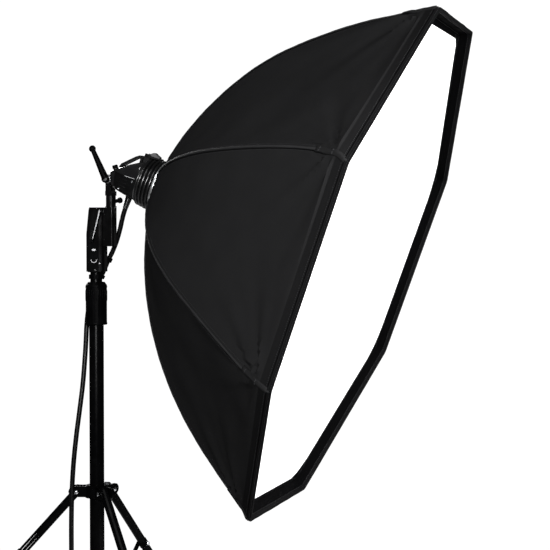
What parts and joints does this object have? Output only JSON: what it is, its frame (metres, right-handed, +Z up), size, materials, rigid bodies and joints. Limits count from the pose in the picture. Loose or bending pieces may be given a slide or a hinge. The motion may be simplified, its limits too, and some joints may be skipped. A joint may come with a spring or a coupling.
{
  "type": "studio softbox",
  "caption": "Octagonal softbox with a recessed diffuser on a tilting flash head, held by a stand adapter on a folding tripod light stand, with its lamp cable.",
  "frame": {"origin": "on the floor under the middle of the object's box, the lamp cable left out", "axes": "+Z up from the floor; -Y the way the softbox faces, which slopes 20.4 degrees down at rest; +X to the right of someone who stands in front and looks at the diffuser"},
  "size_m": [1.1272, 1.3656, 1.612],
  "materials": {
    "canopy_cloth": "black woven polyester with a faint sheen",
    "lip_cloth": "matt black webbing and loop tape",
    "diffuser_cloth": "white diffusion cloth, plain fine weave",
    "rod_steel": "bright spring steel",
    "ring_alloy": "satin machined",
    "housing_plastic": "fine-textured black moulding",
    "grip_rubber": "matt black rubber",
    "frosted_glass": "frosted borosilicate",
    "grey_plastic": "satin grey moulding",
    "stand_metal": "semi-gloss black anodised and lacquered alloy",
    "clamp_plastic": "satin black glass-filled nylon",
    "cable_rubber": "smooth matt black jacket",
    "connector_plastic": "black moulding"
  },
  "bodies": {
    "stand": {"base_column": "stand_metal", "column_cap": "clamp_plastic", "clamp_sleeve": "clamp_plastic", "leg_collar": "stand_metal", "collar_screw": "rod_steel", "cable_lower": "cable_rubber", "cable_coil": "cable_rubber", "cable_connector": "connector_plastic"},
    "leg_1": {"leg_1": "stand_metal", "foot_1": "grip_rubber"},
    "brace_1": {"brace_1": "stand_metal"},
    "leg_2": {"leg_2": "stand_metal", "foot_2": "grip_rubber"},
    "brace_2": {"brace_2": "stand_metal"},
    "leg_3": {"leg_3": "stand_metal", "foot_3": "grip_rubber"},
    "brace_3": {"brace_3": "stand_metal"},
    "brace_slider": {"brace_slider": "clamp_plastic"},
    "sleeve_knob": {"sleeve_knob": "clamp_plastic"},
    "riser": {"riser_tube": "stand_metal", "riser_clip": "clamp_plastic", "cable_middle": "cable_rubber"},
    "adapter": {"adapter_body": "stand_metal", "tilt_fork": "stand_metal", "adapter_clip": "clamp_plastic", "cable_upper": "cable_rubber"},
    "adapter_lever": {"adapter_lever": "stand_metal"},
    "head": {"head_housing": "housing_plastic", "head_collar": "grip_rubber", "tilt_tongue": "stand_metal", "cable_gland": "grip_rubber", "carry_bail": "housing_plastic", "glass_dome": "frosted_glass", "flash_tube": "frosted_glass", "modelling_lamp": "frosted_glass", "speedring_insert": "ring_alloy"},
    "tilt_handle": {"tilt_handle": "housing_plastic"},
    "collar_latch": {"collar_latch": "grey_plastic"},
    "power_dial": {"power_dial": "housing_plastic"},
    "test_button": {"test_button": "grey_plastic"},
    "softbox": {"speedring": "ring_alloy", "rod_1": "rod_steel", "rod_2": "rod_steel", "rod_3": "rod_steel", "rod_4": "rod_steel", "rod_5": "rod_steel", "rod_6": "rod_steel", "rod_7": "rod_steel", "rod_8": "rod_steel", "canopy_panel_1": "canopy_cloth", "canopy_panel_2": "canopy_cloth", "canopy_panel_3": "canopy_cloth", "canopy_panel_4": "canopy_cloth", "canopy_panel_5": "canopy_cloth", "canopy_panel_6": "canopy_cloth", "canopy_panel_7": "canopy_cloth", "canopy_panel_8": "canopy_cloth", "front_lip": "lip_cloth", "front_diffuser": "diffuser_cloth", "inner_diffuser": "diffuser_cloth"}
  },
  "joints": [
    {"name": "leg_fold_1", "type": "hinge", "parent": "stand", "child": "leg_1", "pos_m": [0.04399, 0.13255, 0.553], "axis": [0.2924, 0.9563, 0], "range_deg": [0, 41]},
    {"name": "brace_turn_1", "type": "hinge", "parent": "leg_1", "child": "brace_1", "pos_m": [0.17222, 0.09335, 0.4046], "axis": [0.2924, 0.9563, 0], "range_deg": [-82, 0]},
    {"name": "leg_fold_2", "type": "hinge", "parent": "stand", "child": "leg_2", "pos_m": [-0.01035, 0.19082, 0.553], "axis": [-0.9744, -0.225, 0], "range_deg": [0, 41]},
    {"name": "brace_turn_2", "type": "hinge", "parent": "leg_2", "child": "brace_2", "pos_m": [-0.04051, 0.32147, 0.4046], "axis": [-0.9744, -0.225, 0], "range_deg": [-82, 0]},
    {"name": "leg_fold_3", "type": "hinge", "parent": "stand", "child": "leg_3", "pos_m": [-0.03364, 0.11463, 0.553], "axis": [0.682, -0.7314, 0], "range_deg": [0, 41]},
    {"name": "brace_turn_3", "type": "hinge", "parent": "leg_3", "child": "brace_3", "pos_m": [-0.13171, 0.02318, 0.4046], "axis": [0.682, -0.7314, 0], "range_deg": [-82, 0]},
    {"name": "slider_travel", "type": "slide", "parent": "stand", "child": "brace_slider", "axis": [0, 0, 1], "range_m": [-0.10324, 0]},
    {"name": "sleeve_knob_turn", "type": "hinge", "parent": "stand", "child": "sleeve_knob", "pos_m": [0.03094, 0.15417, 0.962], "axis": [0.9668, 0.2554, 0], "range_deg": [0, 360]},
    {"name": "riser_slide", "type": "slide", "parent": "stand", "child": "riser", "axis": [0, 0, 1], "range_m": [-0.006, 0.45], "deforming": ["cable_lower"]},
    {"name": "adapter_pan", "type": "hinge", "parent": "riser", "child": "adapter", "pos_m": [0, 0.146, 1.1], "axis": [0, 0, 1], "range_deg": [-60, 60], "deforming": ["cable_middle"]},
    {"name": "adapter_lever_swing", "type": "hinge", "parent": "adapter", "child": "adapter_lever", "pos_m": [-0.02265, 0.13269, 1.20428], "axis": [0, 0.9744, 0.225], "range_deg": [0, 110]},
    {"name": "head_tilt", "type": "hinge", "parent": "adapter", "child": "head", "pos_m": [0, 0.1125, 1.2715], "axis": [1, 0, 0], "range_deg": [-80, 10], "deforming": ["cable_upper"]},
    {"name": "tilt_handle_turn", "type": "hinge", "parent": "head", "child": "tilt_handle", "pos_m": [-0.0276, 0.1125, 1.2715], "axis": [1, 0, 0], "range_deg": [-25, 25]},
    {"name": "collar_latch_lift", "type": "hinge", "parent": "head", "child": "collar_latch", "pos_m": [0, 0.01994, 1.32531], "axis": [1, 0, 0], "range_deg": [-60, 0]},
    {"name": "power_dial_turn", "type": "hinge", "parent": "head", "child": "power_dial", "pos_m": [-0.011, 0.09494, 1.29851], "axis": [0, 0.2691, 0.9631], "range_deg": [-135, 135]},
    {"name": "test_button_press", "type": "slide", "parent": "head", "child": "test_button", "axis": [0, -0.2691, -0.9631], "range_m": [0, 0.002], "stiffness_N_per_m": 600},
    {"name": "softbox_roll", "type": "hinge", "parent": "head", "child": "softbox", "pos_m": [0, -0.02164, 1.24775], "axis": [0, 0.9373, 0.3486], "continuous": true}
  ],
  "couplings": [
    {"joint": "brace_turn_1", "follows": "leg_fold_1", "ratio": -2},
    {"joint": "leg_fold_2", "follows": "leg_fold_1", "ratio": 1},
    {"joint": "brace_turn_2", "follows": "leg_fold_1", "ratio": -2},
    {"joint": "leg_fold_3", "follows": "leg_fold_1", "ratio": 1},
    {"joint": "brace_turn_3", "follows": "leg_fold_1", "ratio": -2},
    {"joint": "slider_travel", "follows": "leg_fold_1", "m_per_rad": -0.14413}
  ]
}
